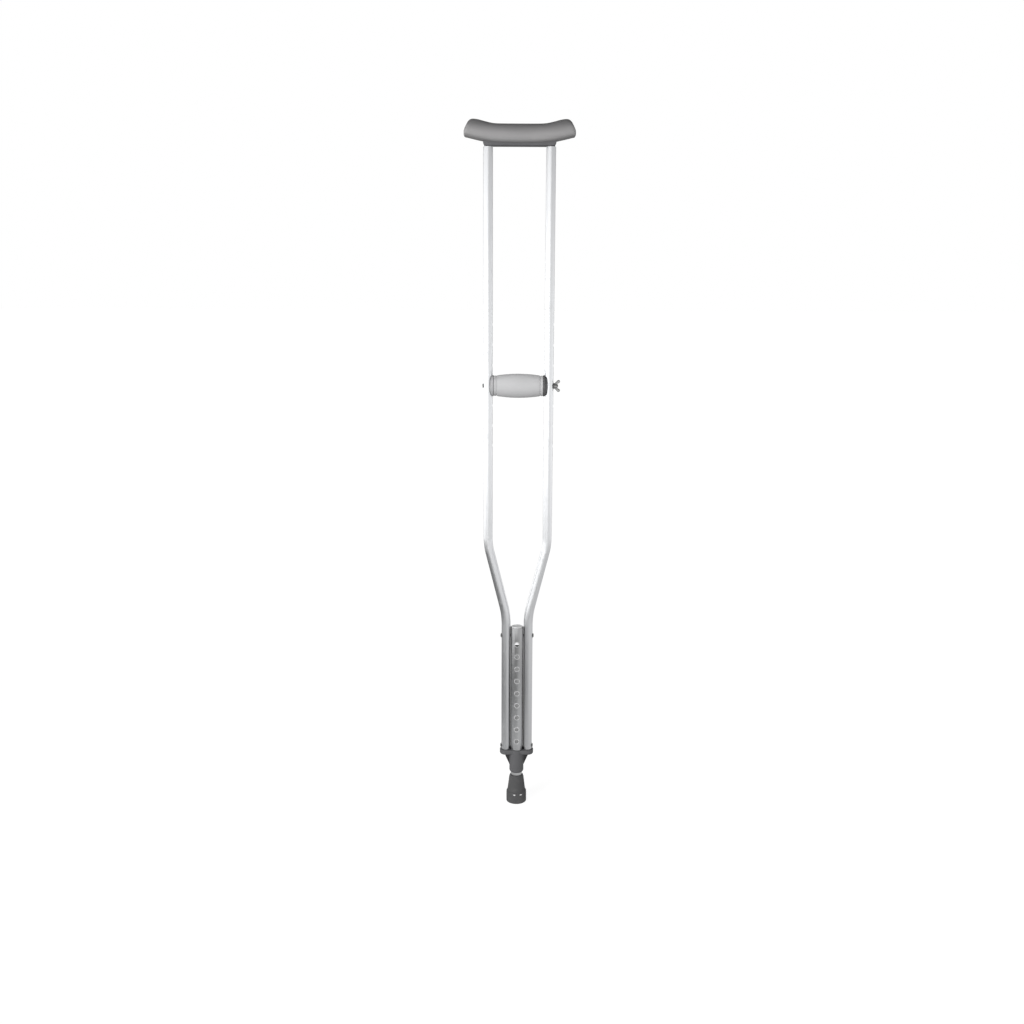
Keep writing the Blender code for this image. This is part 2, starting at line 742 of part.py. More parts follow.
def rest_section(x):
    """(low, high, half depth) of the cushion at x, which is swept up and rounded at its ends."""
    level_half = 30.0 * MM
    swept_half = 88.0 * MM
    dip = 5.6 * MM
    upsweep = 7.0 * MM
    low_middle = 1280.6 * MM
    low_rise = 12.0 * MM

    along = abs(x) / REST_HALF_LENGTH
    sweep = min(1.0, max(0.0, (abs(x) - level_half) / (swept_half - level_half)))
    high = HEIGHT - dip + upsweep * (3 * sweep**2 - 2 * sweep**3)
    low = low_middle + low_rise * along**2.6
    middle = 0.4 * high + 0.6 * low
    round_end = math.sqrt(max(0.0, 1 - along**12))
    high = middle + (high - middle) * round_end
    low = middle + (low - middle) * round_end
    return low, high, REST_HALF_DEPTH * round_end


def underarm_cushion():
    """A soft pad moulded over the bracket: a row of rounded sections joined end to end."""
    stations = 20
    ring_points = 16
    squareness = 0.6
    pocket_clearance = 0.4 * MM

    bm = bmesh.new()
    rings = []
    for i in range(1, stations):
        x = -REST_HALF_LENGTH * math.cos(math.pi * i / stations)
        low, high, half_depth = rest_section(x)
        ring = []
        for j in range(ring_points):
            angle = 2 * math.pi * (j + 0.5) / ring_points
            across = math.copysign(abs(math.cos(angle)) ** squareness, math.cos(angle))
            up = math.copysign(abs(math.sin(angle)) ** squareness, math.sin(angle))
            z = (high + low) / 2 + (high - low) / 2 * up
            ring.append(bm.verts.new((x, half_depth * across, z)))
        rings.append(ring)
    for ring, following in zip(rings, rings[1:]):
        for j in range(ring_points):
            k = (j + 1) % ring_points
            bm.faces.new((ring[j], ring[k], following[k], following[j]))
    for side, ring in ((-1, rings[0][::-1]), (1, rings[-1])):
        low, high, _ = rest_section(side * REST_HALF_LENGTH)
        pole = bm.verts.new((side * REST_HALF_LENGTH, 0, (low + high) / 2))
        for j in range(ring_points):
            bm.faces.new((ring[j], ring[(j + 1) % ring_points], pole))
    bmesh.ops.recalc_face_normals(bm, faces=bm.faces)
    mesh = bpy.data.meshes.new("underarm_cushion")
    bm.to_mesh(mesh)
    bm.free()
    obj = add_part("underarm_cushion", mesh, (RUBBER_GREY, 0.8, 0.0))
    outline = saddle_outline(pocket_clearance)
    pocket = prism("cushion_pocket", outline, SADDLE_HALF_DEPTH + pocket_clearance)
    boolean(obj, add_helper("cushion_pocket", pocket), "DIFFERENCE")
    smooth(obj, 60)


clear_scene()
CRUTCH, HELPERS = make_collections()

for label, sign in (("left", -1), ("right", 1)):
    upright("upright_" + label, sign)
    short_rivet("lower_rivet_" + label, sign)
sleeve()
sleeve_cap()
through_rivet()
foot_bracket()
underarm_bracket()
underarm_cushion()

leg_axis = add_axis("leg_slide_axis", (0, 0, 0))
leg_tube(leg_axis)
tip(leg_axis)
tip_washer(leg_axis)
button_spring(leg_axis)
snap_button(add_axis("button_axis", (0, -SLEEVE_RADIUS, BUTTON_Z), leg_axis))

grip_axis = add_axis("handgrip_axis", (0, 0, GRIP_Z))
grip_core(grip_axis)
grip_cover(grip_axis)
grip_cup("grip_cup_left", -1, grip_axis)
grip_cup("grip_cup_right", 1, grip_axis)
grip_bolt(grip_axis)
bolt_washer(grip_axis)
wing_nut(add_axis("wing_nut_axis", (NUT_X, 0, GRIP_Z), grip_axis))
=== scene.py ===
"""The finished look of an underarm crutch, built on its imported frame, with a floor, lights and a camera."""

import math

import bmesh
import bpy
import numpy as np
from mathutils import Matrix, Vector


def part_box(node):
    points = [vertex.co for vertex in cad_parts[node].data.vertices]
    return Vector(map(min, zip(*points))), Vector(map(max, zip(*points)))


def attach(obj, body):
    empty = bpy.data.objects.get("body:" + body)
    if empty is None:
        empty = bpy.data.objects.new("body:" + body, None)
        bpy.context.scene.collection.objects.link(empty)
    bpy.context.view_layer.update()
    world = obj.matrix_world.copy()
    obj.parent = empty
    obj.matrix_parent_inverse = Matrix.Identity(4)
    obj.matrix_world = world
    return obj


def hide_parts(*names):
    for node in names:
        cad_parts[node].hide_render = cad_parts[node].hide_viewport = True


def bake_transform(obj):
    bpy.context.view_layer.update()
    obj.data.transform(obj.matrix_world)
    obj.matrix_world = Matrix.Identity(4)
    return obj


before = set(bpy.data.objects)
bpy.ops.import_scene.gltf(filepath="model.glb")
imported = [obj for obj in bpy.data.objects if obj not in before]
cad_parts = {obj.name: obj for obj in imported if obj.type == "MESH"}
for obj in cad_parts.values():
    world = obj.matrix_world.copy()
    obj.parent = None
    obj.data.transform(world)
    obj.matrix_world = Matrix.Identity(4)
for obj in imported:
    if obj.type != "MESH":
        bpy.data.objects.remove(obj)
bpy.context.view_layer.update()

MM = 0.001
SIDES = 96  # points round a large turned piece
GAP = 0.3 * MM


# Places, read from the frame ---------------------------------------------------


def middle_z(node):
    low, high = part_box(node)
    return (low.z + high.z) / 2


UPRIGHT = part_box("upright_right")
TUBE_RADIUS = (UPRIGHT[1].y - UPRIGHT[0].y) / 2
TUBE_WALL = 1.25 * MM
LEG_WALL = 1.4 * MM  # of the sleeve and of the leg inside it
UPRIGHT_X = UPRIGHT[1].x - TUBE_RADIUS
FOOT_X = UPRIGHT[0].x + TUBE_RADIUS
TUBE_BOTTOM, TUBE_TOP = UPRIGHT[0].z, UPRIGHT[1].z
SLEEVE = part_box("sleeve_tube")
SLEEVE_RADIUS = SLEEVE[1].x
SLEEVE_BORE = SLEEVE_RADIUS - LEG_WALL
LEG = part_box("leg_tube")
LEG_RADIUS = LEG[1].x
LEG_BORE = LEG_RADIUS - LEG_WALL
UPPER_RIVET_Z = middle_z("upper_rivet")
LOWER_RIVET_Z = middle_z("lower_rivet_right")
BUTTON_Z = middle_z("snap_button")
GRIP_Z = middle_z("grip_cover")
GRIP_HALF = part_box("grip_cover")[1].x
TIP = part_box("tip")
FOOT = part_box("foot_bracket")
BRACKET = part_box("underarm_bracket")

BEND_HEIGHTS = (392 * MM, 533 * MM)  # where an upright's straight runs would meet
BEND_RADII = (165 * MM, 125 * MM)
GRIP_HOLES, GRIP_HOLE_PITCH, GRIP_HOLE_RADIUS = 7, 38.1 * MM, 3.3 * MM
HEIGHT_HOLES, HOLE_PITCH, BUTTON_HOLE_RADIUS = 9, 25.4 * MM, 4.3 * MM
UPPER_RIVET_HOLE, LOWER_RIVET_HOLE = 2.8 * MM, 2.3 * MM
RIVET_HEAD = (4.5 * MM, 2 * MM)  # radius and height of its dome
PEG_RADIUS = 7.2 * MM
TIP_OVALS = (-0.21, 0.46)  # angles of the tread ring's two pressed ovals, which carry painted highlights, from the front
TIP_OVAL_Z = 19.4 * MM


# Surfaces ----------------------------------------------------------------------


def unit(vector):
    return vector / np.linalg.norm(vector)


def filleted(corners, radii, steps=5):
    """A path through the corners with each inner corner turned on an arc of its radius: centre plus
    the arc's first spoke times cos a plus the incoming direction times radius times sin a."""
    corners = np.array(corners, float)
    path = [corners[:1]]
    for before, corner, after, radius in zip(corners, corners[1:], corners[2:], radii):
        came, goes = unit(corner - before), unit(after - corner)
        bend = math.acos(np.clip(came @ goes, -1, 1))
        centre = corner + unit(goes - came) * radius / math.cos(bend / 2)
        spoke = corner - came * radius * math.tan(bend / 2) - centre
        turn = np.linspace(0, bend, steps + 1)[:, None]
        path.append(centre + spoke * np.cos(turn) + came * radius * np.sin(turn))
    return np.vstack(path + [corners[-1:]])


def dome(radius, height, base, steps=14):
    """(radius, height) points of a quarter ellipse from the crown on the axis down to the base."""
    turn = np.linspace(0, math.pi / 2, steps)
    return np.stack([radius * np.sin(turn), base + height * np.cos(turn)], 1)


def turned(profile, sides=SIDES, axis="Z", at=(0, 0, 0)):
    """A profile of (radius, height) turned about the axis through the point at: rows of
    (radius cos a, radius sin a, height), with the coordinates rolled round to the axis asked for."""
    profile = np.array(profile, float)
    angle = np.arange(sides) * 2 * math.pi / sides
    radius, height = profile[:, :1], profile[:, 1:]
    grid = np.stack([radius * np.cos(angle), radius * np.sin(angle), height + 0 * angle], -1)
    return np.roll(grid, {"Z": 0, "X": 1, "Y": 2}[axis], -1) + np.array(at, float)


def squared(value, squareness):
    """The value with its size raised to the squareness and its sign kept."""
    return np.sign(value) * np.abs(value) ** squareness


def sections(centre, up, depth, squareness, columns=SIDES):
    """Rings about a centreline in the XZ plane: centre plus up times squared(sin a) plus Y times depth
    times squared(cos a)."""
    angle = (np.arange(columns) + 0.5) * 2 * math.pi / columns
    across = squared(np.cos(angle), squareness)
    rise = squared(np.sin(angle), squareness)
    grid = np.asarray(centre)[:, None] + np.asarray(up)[:, None] * rise[None, :, None]
    grid[..., 1] += np.asarray(depth)[:, None] * across
    return grid


def directions(path):
    """The unit direction of travel at each point of a path."""
    along = np.gradient(path, axis=0)
    return along / np.linalg.norm(along, axis=1)[:, None]


def tube(path, radius):
    """A round tube's skin on a path in the XZ plane: path plus radius times (N cos a + Y sin a), where
    N is the path's direction turned a quarter about Y."""
    across = np.cross(directions(path), (0, 1, 0))
    angle = np.arange(SIDES) * 2 * math.pi / SIDES
    ring = across[:, None] * np.cos(angle)[:, None] + np.array((0, 1, 0)) * np.sin(angle)[:, None]
    return path[:, None] + radius * ring


def capped(grid):
    """The rings with a flat end at each side: a first and last row that shrink to the end's middle."""
    ends = [np.broadcast_to(grid[i].mean(0), grid[i].shape)[None] for i in (0, -1)]
    return np.concatenate([ends[0], grid, ends[1]])


def rings_mesh(name, shells, sharp=38):
    """A mesh of quads between neighbouring rows and columns of each (grid, looped) shell. Columns
    always close round, and looped rows do too. Points that meet are welded and faces turned outwards."""
    points, faces, start = [], [], 0
    for grid, looped in shells:
        rows, columns = grid.shape[:2]
        index = start + np.arange(rows * columns).reshape(rows, columns)
        index = np.vstack([index, index[:1]]) if looped else index
        index = np.hstack([index, index[:, :1]])
        quads = [index[:-1, :-1], index[:-1, 1:], index[1:, 1:], index[1:, :-1]]
        faces.append(np.stack(quads, -1).reshape(-1, 4))
        points.append(grid.reshape(-1, 3))
        start += rows * columns
    mesh = bpy.data.meshes.new(name)
    mesh.from_pydata(np.vstack(points), [], np.vstack(faces))
    bm = bmesh.new()
    bm.from_mesh(mesh)
    bmesh.ops.remove_doubles(bm, verts=bm.verts, dist=1e-7)
    bmesh.ops.recalc_face_normals(bm, faces=bm.faces)
    bm.to_mesh(mesh)
    bm.free()
    shade(mesh, sharp)
    return mesh


def shade(mesh, sharp):
    mesh.polygons.foreach_set("use_smooth", np.ones(len(mesh.polygons), bool))
    mesh.set_sharp_from_angle(angle=math.radians(sharp))


def drilled(mesh, rods):
    """The mesh with round holes cut by rods, each (start, end, radius)."""
    shells = []
    for start, end, radius in rods:
        start, end = Vector(start), Vector(end)
        turn = (end - start).to_track_quat("Z", "Y").to_matrix().to_4x4()
        place = np.array(Matrix.Translation(start) @ turn)
        rod = turned([(radius, 0), (radius, (end - start).length)], 40)
        shells.append((capped(rod @ place[:3, :3].T + place[:3, 3]), False))
    work = bpy.data.objects.new("drilling", mesh)
    cutter = bpy.data.objects.new("drill", rings_mesh("drill", shells))
    for obj in (work, cutter):
        bpy.context.scene.collection.objects.link(obj)
    cut = work.modifiers.new("drill", "BOOLEAN")
    cut.operation = "DIFFERENCE"
    cut.solver = "EXACT"
    cut.object = cutter
    graph = bpy.context.evaluated_depsgraph_get()
    result = bpy.data.meshes.new_from_object(work.evaluated_get(graph))
    result.name = mesh.name
    for obj in (work, cutter):
        bpy.data.objects.remove(obj)
    shade(result, 38)
    return result


def piece(name, mesh, look, body, node):
    """A finished piece, in place of its node. The body is None for a piece left on no body."""
    obj = bpy.data.objects.new(name, mesh)
    bpy.context.scene.collection.objects.link(obj)
    mesh.materials.clear()
    mesh.materials.append(look)
    if body:
        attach(obj, body)
    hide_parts(node)
    return obj


# Materials ---------------------------------------------------------------------


class Value:
    """A socket in a material, with arithmetic that adds its Math nodes."""

    def __init__(self, look, socket):
        self.look = look
        self.socket = socket

    def math(self, operation, *others, **settings):
        inputs = dict(enumerate((self, *others)))
        return self.look.node("ShaderNodeMath", {"operation": operation, **settings}, inputs)

    def __add__(self, other):
        return self.math("ADD", other)

    def __mul__(self, other):
        return self.math("MULTIPLY", other)

    def __sub__(self, other):
        return self.math("SUBTRACT", other)

    def __rsub__(self, other):
        return self.look.node("ShaderNodeMath", {"operation": "SUBTRACT"}, {0: other, 1: self})

    __radd__ = __add__
    __rmul__ = __mul__

    def size(self):
        return self.math("ABSOLUTE")

    def step(self, low, high):
        """0 below low and 1 above high, with a smooth rise between; low may be the greater."""
        settings = {"interpolation_type": "SMOOTHSTEP"}
        inputs = {"Value": self, "From Min": low, "From Max": high}
        return self.look.node("ShaderNodeMapRange", settings, inputs)


class Look:
    """A Principled material under construction. Its place is the piece's own Object coordinates."""

    def __init__(self, name, **fixed):
        self.material = bpy.data.materials.new(name)
        self.material.use_nodes = True
        self.tree = self.material.node_tree
        self.shader = self.tree.nodes["Principled BSDF"]
        for socket, value in fixed.items():
            self.shader.inputs[socket.replace("_", " ")].default_value = value
        self.place = self.node("ShaderNodeTexCoord", {}, {}, "Object")

    def node(self, kind, settings, inputs, output=0):
        """One node with its settings, the values or links of its sockets, and the output asked for."""
        node = self.tree.nodes.new(kind)
        for setting, value in settings.items():
            setattr(node, setting, value)
        for socket, value in inputs.items():
            self.feed(node.inputs[socket], value)
        return Value(self, node.outputs[output])

    def feed(self, socket, value):
        if isinstance(value, Value):
            self.tree.links.new(value.socket, socket)
        else:
            socket.default_value = value

    def axes(self):
        """The x, y and z of the place."""
        settings, inputs = {}, {"Vector": self.place}
        return [self.node("ShaderNodeSeparateXYZ", settings, inputs, axis) for axis in "XYZ"]

    def far(self):
        """The distance of the place from the origin."""
        settings, inputs = {"operation": "LENGTH"}, {0: self.place}
        return self.node("ShaderNodeVectorMath", settings, inputs, "Value")

    def noise(self, scale, detail, stretch=(1, 1, 1)):
        """Cloudy noise from 0 to 1, whose scale is in cells a metre."""
        place = self.node("ShaderNodeMapping", {}, {"Vector": self.place, "Scale": stretch})
        inputs = {"Vector": place, "Scale": scale, "Detail": detail, "Roughness": 0.55}
        return self.node("ShaderNodeTexNoise", {}, inputs)

    def cells(self, scale):
        """Distance to the nearest of evenly scattered points, for pores and pebbles."""
        inputs = {"Vector": self.place, "Scale": scale}
        return self.node("ShaderNodeTexVoronoi", {"feature": "SMOOTH_F1"}, inputs)

    def blend(self, share, first, second):
        """The first colour turning into the second as the share goes from 0 to 1."""
        settings = {"data_type": "RGBA"}
        return self.node("ShaderNodeMix", settings, {0: share, 6: colour(first), 7: colour(second)}, 2)

    def finish(self, base, roughness, height=None, depth=0.0):
        """Feeds the shader, with the height as a bump of that depth, and returns the material."""
        self.feed(self.shader.inputs["Base Color"], base)
        self.feed(self.shader.inputs["Roughness"], roughness)
        if height:
            inputs = {"Strength": 1.0, "Distance": depth, "Height": height}
            self.feed(self.shader.inputs["Normal"], self.node("ShaderNodeBump", {}, inputs))
        return self.material


def colour(value):
    """A grey level or an (r, g, b) as the four numbers of a colour socket."""
    if isinstance(value, Value):
        return value
    return (value, value, value, 1.0) if isinstance(value, float) else (*value, 1.0)


def drawn_aluminium(name, bright, seam_x=None, holes=False, scuffed=False):
    """Drawn tube: long fine lines along the tube, faint handling marks, and where two tubes touch,
    a band of painted shade along the seam. A tube with holes is the sleeve: it is painted darker, as
    shade, towards its top, and its height holes have rougher rims with a painted highlight. The leg
    is scuffed where it runs inside."""
    look = Look(name, Metallic=1.0)
    x, y, z = look.axes()
    lines = look.noise(1.0, 3.0, (2200, 2200, 14))
    bands = look.noise(1.0, 2.0, (420, 420, 3))
    marks = look.noise(46.0, 4.0)
    base = look.blend(lines, tuple(c * 0.93 for c in bright), bright)
    base = look.blend(marks.step(0.62, 0.8) * 0.25, base, tuple(c * 0.8 for c in bright))
    if seam_x:
        # painted shade along the seam where two tubes touch
        seam_shade = (x.size() - seam_x).size().step(2.3 * MM, 0.5 * MM)
        seam_shade = seam_shade * z.step(SLEEVE[1].z + 3 * MM, SLEEVE[1].z - 5 * MM)
        base = look.blend(seam_shade * 0.85, base, 0.045)
    rough = 0.24 + lines * 0.1 + bands * 0.08 + marks.step(0.55, 0.8) * 0.1
    if scuffed:
        inside = z.step(TUBE_BOTTOM - 4.5 * MM, TUBE_BOTTOM + 3.5 * MM)
        base = look.blend(inside * (0.45 + lines * 0.2), base, 0.3)
        rough = rough + inside * 0.1
    if holes:
        # painted highlight: a pale, rougher, less metallic ring round each height hole
        from_hole = (z - BUTTON_Z + 40 * HOLE_PITCH).math("PINGPONG", HOLE_PITCH / 2)
        away = (x * x + from_hole * from_hole).math("SQRT")
        rim = away.step(5.6 * MM, 4.9 * MM) * y.step(0.0, -1 * MM)
        rim = rim * z.step(BUTTON_Z + 6 * MM, BUTTON_Z + 5 * MM)
        # painted shade: the sleeve is darker towards its top
        base = look.blend(z.step(0.12, 0.32) * 0.65, base, 0.33)
        base = look.blend(rim * 0.6, base, (0.97, 0.97, 0.97))
        rough = rough + rim * 0.35
        look.feed(look.shader.inputs["Metallic"], 1 - rim * 0.4)
    return look.finish(base, rough, lines * 0.6 + bands * 0.4, 0.00002)


def moulded_plastic(name, dark, light, shaded=None):
    """Moulded plastic with a fine spark-eroded grain and slightly polished high spots, and painted
    shade where the shaded function of x, y and z rises to 1."""
    look = Look(name)
    grain = look.noise(900.0, 3.0)
    cloud = look.noise(40.0, 3.0)
    base = look.blend(cloud * 0.6 + grain * 0.4, dark, light)
    if shaded:
        # painted shade where shaded rises to 1
        base = look.blend(shaded(*look.axes()), base, tuple(c * 0.3 for c in dark))
    rough = 0.42 + grain * 0.16 + cloud * 0.08
    return look.finish(base, rough, grain, 0.00008)


def corner_shade(x, y, z):
    """1 on the foot's webs and where the bracket's wings go into the pad: corners given painted shade."""
    webs = x.size().step(14.0 * MM, 15.5 * MM) * z.step(102.5 * MM, 100.0 * MM)
    wings = x.size().step(64.5 * MM, 67.0 * MM) * z.step(1283.0 * MM, 1285.5 * MM)
    return webs + wings


def right_side_shade(x, y, z):
    """1 on the right of the crutch, where the cup is painted darker, as shade."""
    return x.step(-10 * MM, 10 * MM)


def tip_rubber():
    """Dark moulded rubber, dull, with a dusty bloom and painted highlights on two ovals on the ring's front.
    """
    look = Look("tip_rubber")
    x, y, z = look.axes()
    grain = look.noise(1300.0, 3.0)
    cloud = look.noise(70.0, 4.0)
    dust = cloud.step(0.45, 0.8) * (0.35 + z.step(14 * MM, 2 * MM) * 0.65)
    base = look.blend(grain, (0.058, 0.058, 0.06), (0.082, 0.082, 0.083))
    base = look.blend(dust * 0.5, base, (0.16, 0.155, 0.15))
    front = y.step(-10 * MM, -14 * MM)
    # painted highlights: the two ovals on the ring's front are lightened
    for angle in TIP_OVALS:
        across = (x - math.sin(angle) * TIP[1].x) * (1 / (3.0 * MM))
        rise = (z - TIP_OVAL_Z) * (1 / (1.4 * MM))
        away = across * across + rise * rise
        base = look.blend(away.step(1.0, 0.35) * front * 0.9, base, 0.7)
    rough = 0.62 + grain * 0.18 + dust * 0.1
    return look.finish(base, rough, grain, 0.00007)


def pad_rubber():
    """Soft grey moulded foam rubber with a pebbled skin. The top is painted darker, as shade, above a
    line that bows with the pad: height less a little of x squared."""
    look = Look("pad_rubber")
    pebbles = look.cells(900.0)
    grain = look.noise(2200.0, 2.0)
    cloud = look.noise(24.0, 4.0)
    streaks = look.noise(1.0, 3.0, (18, 60, 260))
    shade_of = cloud * 0.5 + streaks * 0.35 + grain * 0.15
    base = look.blend(shade_of, (0.175, 0.172, 0.173), (0.262, 0.258, 0.259))
    x, _, z = look.axes()
    bowed = z - x.math("POWER", 2.0) * 0.9
    # painted shade on the pad's top
    above = bowed.step(1291 * MM, 1311 * MM)
    base = look.blend(above * 0.9, base, (0.066, 0.065, 0.066))
    rough = 0.58 + cloud * 0.12 + grain * 0.1
    return look.finish(base, rough, pebbles * 0.8 + grain * 0.2, 0.00012)


def grip_foam():
    """Light grey closed-cell foam with a cloudy tone and fine darker pores."""
    look = Look("grip_foam")
    pores = look.cells(1500.0)
    grain = look.noise(900.0, 3.0)
    cloud = look.noise(45.0, 3.0)
    base = look.blend(cloud * 0.6 + grain * 0.4, (0.39, 0.39, 0.395), (0.47, 0.47, 0.475))
    base = look.blend(pores.step(0.3, 0.0) * 0.25, base, (0.33, 0.33, 0.335))
    rough = 0.6 + grain * 0.14
    return look.finish(base, rough, pores * 0.7 + grain * 0.3, 0.0001)


def plated_steel(name, bright):
    """Zinc-plated steel with a cloudy, slightly mottled plating."""
    look = Look(name, Metallic=1.0)
    grain = look.noise(1800.0, 3.0)
    cloud = look.noise(260.0, 3.0)
    dark = (bright * 0.72, bright * 0.73, bright * 0.74)
    base = look.blend(cloud, dark, (bright, bright, bright * 0.98))
    rough = 0.26 + cloud * 0.16 + grain * 0.08
    return look.finish(base, rough, grain * 0.5 + cloud * 0.5, 0.00005)


def button_steel():
    """Polished steel with a painted highlight over the button's upper half and painted shade below."""
    look = Look("button_steel")
    z = look.axes()[2]
    grain = look.noise(1800.0, 3.0)
    # painted highlight on the upper half, painted shade on the lower
    upper = z.step(BUTTON_Z - 0.6 * MM, BUTTON_Z + 1.2 * MM)
    look.feed(look.shader.inputs["Metallic"], 1 - upper * 0.7)
    return look.finish(look.blend(upper, 0.05, 0.95), 0.3 + grain * 0.1, grain, 0.00003)


TUBE_LOOK = drawn_aluminium("upright_aluminium", (0.86, 0.87, 0.885), seam_x=12.95 * MM)
SLEEVE_LOOK = drawn_aluminium("sleeve_aluminium", (0.78, 0.79, 0.80), seam_x=12.7 * MM, holes=True)
LEG_LOOK = drawn_aluminium("leg_aluminium", (0.88, 0.885, 0.89), scuffed=True)
# painted shade in the foot's webs and the bracket's wing corners
BRACKET_LOOK = moulded_plastic(
    "bracket_plastic", (0.075, 0.075, 0.079), (0.115, 0.115, 0.12), shaded=corner_shade
)
# the right cup painted darker, as shade
CUP_LOOK = moulded_plastic("cup_plastic", (0.27, 0.27, 0.275), (0.36, 0.36, 0.365), shaded=right_side_shade)
CAP_LOOK = moulded_plastic("cap_plastic", (0.66, 0.66, 0.66), (0.74, 0.74, 0.74))
CORE_LOOK = moulded_plastic("core_plastic", (0.05, 0.05, 0.052), (0.07, 0.07, 0.073))
STEEL_LOOK = plated_steel("hardware_steel", 0.5)
DARK_STEEL_LOOK = plated_steel("rivet_steel", 0.32)
BUTTON_LOOK = button_steel()
TIP_LOOK = tip_rubber()
PAD_LOOK = pad_rubber()
GRIP_LOOK = grip_foam()


# Pieces ------------------------------------------------------------------------


def hollow(path, radius, bore):
    """An open-ended tube: its outer skin up the path and its bore back down, looped."""
    return np.concatenate([tube(path, radius), tube(path, bore)[::-1]])


def make_upright(name, side):
    """A tube on a path with two bends, drilled across for the grip bolt and the rivets."""
    corners = [
        (side * FOOT_X, 0, TUBE_BOTTOM),
        (side * FOOT_X, 0, BEND_HEIGHTS[0]),
        (side * UPRIGHT_X, 0, BEND_HEIGHTS[1]),
        (side * UPRIGHT_X, 0, TUBE_TOP),
    ]
    path = filleted(corners, BEND_RADII, steps=28)
    mesh = rings_mesh(name, [(hollow(path, TUBE_RADIUS, TUBE_RADIUS - TUBE_WALL), True)])
    reach = TUBE_RADIUS + 2 * MM
    rods = []
    x = side * UPRIGHT_X
    for i in range(GRIP_HOLES):
        height = GRIP_Z + (i - GRIP_HOLES // 2) * GRIP_HOLE_PITCH
        rods.append(((x - reach, 0, height), (x + reach, 0, height), GRIP_HOLE_RADIUS))
    x = side * FOOT_X
    rods.append(((x - reach, 0, UPPER_RIVET_Z), (x + reach, 0, UPPER_RIVET_Z), UPPER_RIVET_HOLE))
    rods.append(((x, 0, LOWER_RIVET_Z), (x + side * reach, 0, LOWER_RIVET_Z), LOWER_RIVET_HOLE))
    node = name.replace("_tube", "")
    piece(name, drilled(mesh, rods), TUBE_LOOK, "frame", node)


def ring_profile(radius, bore, low, high, edge):
    """A ring's section: outside, ends and bore, with small rounded edges."""
    middle = (low + high) / 2
    corners = [(radius, high), (bore, high), (bore, low), (radius, low)]
    corners = [(radius, middle), *corners, (radius, middle)]
    return filleted(corners, (edge,) * 4, 3)[:-1]


def make_sleeve():
    """The fixed outer tube, with nine height holes down its front and one across for the rivet."""
    profile = ring_profile(SLEEVE_RADIUS, SLEEVE_BORE, SLEEVE[0].z, SLEEVE[1].z, 0.25 * MM)
    mesh = rings_mesh("sleeve", [(turned(profile), True)])
    past = SLEEVE_RADIUS + 2.3 * MM
    rods = []
    for i in range(HEIGHT_HOLES):
        height = BUTTON_Z - i * HOLE_PITCH
        rods.append(((0, -past, height), (0, -6 * MM, height), BUTTON_HOLE_RADIUS))
    rods.append(((-past, 0, UPPER_RIVET_Z), (past, 0, UPPER_RIVET_Z), UPPER_RIVET_HOLE))
    piece("sleeve", drilled(mesh, rods), SLEEVE_LOOK, "frame", "sleeve_tube")


def make_sleeve_cap():
    """A turned plug with a rounded rim and a shallow dished top."""
    low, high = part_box("sleeve_cap")
    radius, dish = high.x, high.z - 0.25 * MM
    corners = [
        (0, dish),
        (radius * 0.72, dish),
        (radius * 0.8, high.z),
        (radius, high.z),
        (radius, low.z),
        (0, low.z),
    ]
    profile = filleted(corners, (0.8 * MM, 0.8 * MM, 0.6 * MM, 0.3 * MM))
    mesh = rings_mesh("cap", [(turned(profile), False)])
    piece("cap", mesh, CAP_LOOK, "frame", "sleeve_cap")


def make_rivets():
    """Domed heads on plain shanks: a profile from crown to crown for the long one, and from crown to
    blunt end for the two short ones."""
    wide, tall = RIVET_HEAD
    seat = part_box("upper_rivet")[1].x - tall
    head = dome(wide, tall, seat)
    shank = np.array([(wide, seat), (2.5 * MM, seat), (2.5 * MM, -seat), (wide, -seat)])
    tail = head[::-1] * (1, -1)
    grid = turned(np.vstack([head, shank, tail]), 48, "X", (0, 0, UPPER_RIVET_Z))
    mesh = rings_mesh("rivet_through", [(grid, False)])
    piece("rivet_through", mesh, DARK_STEEL_LOOK, "frame", "upper_rivet")
    for label, side in (("left", -1), ("right", 1)):
        low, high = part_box("lower_rivet_" + label)
        inner, outer = (low.x, high.x) if side > 0 else (-high.x, -low.x)
        seat = outer - tall
        shank = [(2.0 * MM, seat), (2.0 * MM, inner), (0, inner)]
        profile = np.vstack([dome(wide, tall, seat), shank]) * (1, side)
        grid = turned(profile, 48, "X", (0, 0, LOWER_RIVET_Z))
        mesh = rings_mesh("rivet_" + label, [(grid, False)])
        piece("rivet_" + label, mesh, DARK_STEEL_LOOK, "frame", "lower_rivet_" + label)


def stadium(radius, spread, steps=28):
    """(x, y) points round two half circles at plus and minus spread, joined by straight sides."""
    turn = np.linspace(-math.pi / 2, math.pi / 2, steps)
    arc = np.stack([spread + radius * np.cos(turn), radius * np.sin(turn)], 1)
    side = np.linspace(spread, -spread, 18)[1:-1, None] * (1, 0) + (0, radius)
    return np.vstack([arc, side, -arc, -side])


def peg(x, low, high, radii):
    """A turned peg inside an upright, its lower and upper edges rounded by the two radii."""
    corners = [(0, low), (PEG_RADIUS, low), (PEG_RADIUS, high), (0, high)]
    return turned(filleted(corners, radii), 48, "Z", (x, 0, 0)), False


